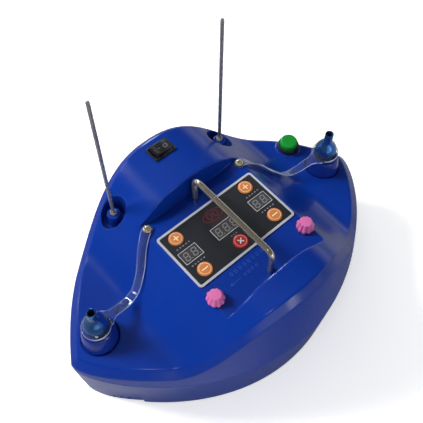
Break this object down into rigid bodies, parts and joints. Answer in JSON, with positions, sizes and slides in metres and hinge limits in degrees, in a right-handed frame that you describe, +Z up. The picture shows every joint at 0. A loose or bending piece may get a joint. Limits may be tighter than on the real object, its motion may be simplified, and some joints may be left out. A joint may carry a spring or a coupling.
{
  "type": "balloon inflator",
  "caption": "Tabletop electric balloon inflator: wing-shaped blue housing, spring-loaded air nozzles, timer panel, bail handle, upright cutter rods and a rocker switch.",
  "frame": {"origin": "on the ground plane, under the middle of the housing's bounding box", "axes": "+Z up, +X to the operator's right, -Y towards the operator at the front"},
  "size_m": [0.309, 0.205, 0.249],
  "materials": {
    "shell_blue": "glossy moulded ABS",
    "nozzle_blue_metal": "blue plated metal",
    "steel": "plain steel",
    "rod_steel": "drawn steel wire",
    "handle_chrome": "bright chrome plate",
    "panel_film": "printed polycarbonate film",
    "display_dark": "smoked display window",
    "key_orange": "satin",
    "key_red": "satin",
    "knob_pink": "semi-gloss",
    "cap_green": "gloss",
    "black_plastic": "satin moulded nylon",
    "clear_pvc": "clear flexible PVC",
    "foot_rubber": "matt",
    "hose_rubber": "matt",
    "board_green": "solder mask",
    "wire_red": "PVC insulation"
  },
  "bodies": {
    "housing": {"air_hose_left": "hose_rubber", "air_hose_right": "hose_rubber", "blower_housing_left": "black_plastic", "blower_housing_right": "black_plastic", "carry_handle": "handle_chrome", "case_screw_front_left": "steel", "case_screw_front_right": "steel", "case_screw_rear_left": "steel", "case_screw_rear_right": "steel", "control_board": "board_green", "display_centre": "display_dark", "display_left": "display_dark", "display_right": "display_dark", "foot_front_left": "foot_rubber", "foot_front_right": "foot_rubber", "foot_rear_left": "foot_rubber", "foot_rear_right": "foot_rubber", "lower_shell": "shell_blue", "mains_inlet": "black_plastic", "microswitch_left": "black_plastic", "microswitch_right": "black_plastic", "motor_left": "steel", "motor_right": "steel", "nozzle_base_left": "shell_blue", "nozzle_base_right": "shell_blue", "nozzle_spring_left": "steel", "nozzle_spring_right": "steel", "panel_lead": "wire_red", "panel_overlay": "panel_film", "pot_left": "steel", "pot_right": "steel", "power_board": "board_green", "push_button_bezel": "black_plastic", "rocker_housing": "black_plastic", "rod_ferrule_left": "handle_chrome", "rod_ferrule_right": "handle_chrome", "rod_left": "rod_steel", "rod_right": "rod_steel", "strap_left": "clear_pvc", "strap_right": "clear_pvc", "strap_screw_left": "steel", "strap_screw_right": "steel", "upper_shell": "shell_blue"},
    "nozzle_left": {"nozzle_cone_left": "nozzle_blue_metal", "nozzle_stem_left": "steel"},
    "switch_pin_left": {"switch_pin_left": "steel"},
    "knob_left": {"knob_left": "knob_pink"},
    "impeller_left": {"impeller_left": "black_plastic"},
    "nozzle_right": {"nozzle_cone_right": "nozzle_blue_metal", "nozzle_stem_right": "steel"},
    "switch_pin_right": {"switch_pin_right": "steel"},
    "knob_right": {"knob_right": "knob_pink"},
    "impeller_right": {"impeller_right": "black_plastic"},
    "button_plus_left": {"button_plus_left": "key_orange"},
    "button_plus_right": {"button_plus_right": "key_orange"},
    "button_minus_left": {"button_minus_left": "key_orange"},
    "button_minus_right": {"button_minus_right": "key_orange"},
    "button_zero": {"button_zero": "key_red"},
    "push_button": {"push_button_cap": "cap_green"},
    "rocker": {"rocker": "black_plastic"}
  },
  "joints": [
    {"name": "nozzle_left_press", "type": "slide", "parent": "housing", "child": "nozzle_left", "axis": [0, 0, -1], "range_m": [0, 0.003], "stiffness_N_per_m": 400, "springref_m": -0.004, "deforming": ["nozzle_spring_left", "strap_left"]},
    {"name": "switch_pin_left_press", "type": "slide", "parent": "housing", "child": "switch_pin_left", "axis": [0, 0, -1], "range_m": [0, 0.003]},
    {"name": "knob_left_turn", "type": "hinge", "parent": "housing", "child": "knob_left", "pos_m": [-0.0472, -0.0477, 0.12], "axis": [0, 0, 1], "range_deg": [-150, 150]},
    {"name": "impeller_left_spin", "type": "hinge", "parent": "housing", "child": "impeller_left", "pos_m": [-0.084, 0.001, 0.025], "axis": [0, 0, 1], "continuous": true},
    {"name": "nozzle_right_press", "type": "slide", "parent": "housing", "child": "nozzle_right", "axis": [0, 0, -1], "range_m": [0, 0.003], "stiffness_N_per_m": 400, "springref_m": -0.004, "deforming": ["nozzle_spring_right", "strap_right"]},
    {"name": "switch_pin_right_press", "type": "slide", "parent": "housing", "child": "switch_pin_right", "axis": [0, 0, -1], "range_m": [0, 0.003]},
    {"name": "knob_right_turn", "type": "hinge", "parent": "housing", "child": "knob_right", "pos_m": [0.0472, -0.0477, 0.12], "axis": [0, 0, 1], "range_deg": [-150, 150]},
    {"name": "impeller_right_spin", "type": "hinge", "parent": "housing", "child": "impeller_right", "pos_m": [0.084, 0.001, 0.025], "axis": [0, 0, 1], "continuous": true},
    {"name": "button_plus_left_press", "type": "slide", "parent": "housing", "child": "button_plus_left", "axis": [0, 0, -1], "range_m": [0, 0.0005]},
    {"name": "button_plus_right_press", "type": "slide", "parent": "housing", "child": "button_plus_right", "axis": [0, 0, -1], "range_m": [0, 0.0005]},
    {"name": "button_minus_left_press", "type": "slide", "parent": "housing", "child": "button_minus_left", "axis": [0, 0, -1], "range_m": [0, 0.0005]},
    {"name": "button_minus_right_press", "type": "slide", "parent": "housing", "child": "button_minus_right", "axis": [0, 0, -1], "range_m": [0, 0.0005]},
    {"name": "button_zero_press", "type": "slide", "parent": "housing", "child": "button_zero", "axis": [0, 0, -1], "range_m": [0, 0.0005]},
    {"name": "push_button_press", "type": "slide", "parent": "housing", "child": "push_button", "axis": [0, 0, -1], "range_m": [0, 0.003], "stiffness_N_per_m": 300, "springref_m": -0.003},
    {"name": "rocker_tilt", "type": "hinge", "parent": "housing", "child": "rocker", "pos_m": [0, 0.0739, 0.1398], "axis": [0, 0.9988, -0.0489], "range_deg": [-24, 0]}
  ],
  "couplings": [
    {"joint": "switch_pin_left_press", "follows": "nozzle_left_press", "ratio": 1},
    {"joint": "switch_pin_right_press", "follows": "nozzle_right_press", "ratio": 1}
  ]
}
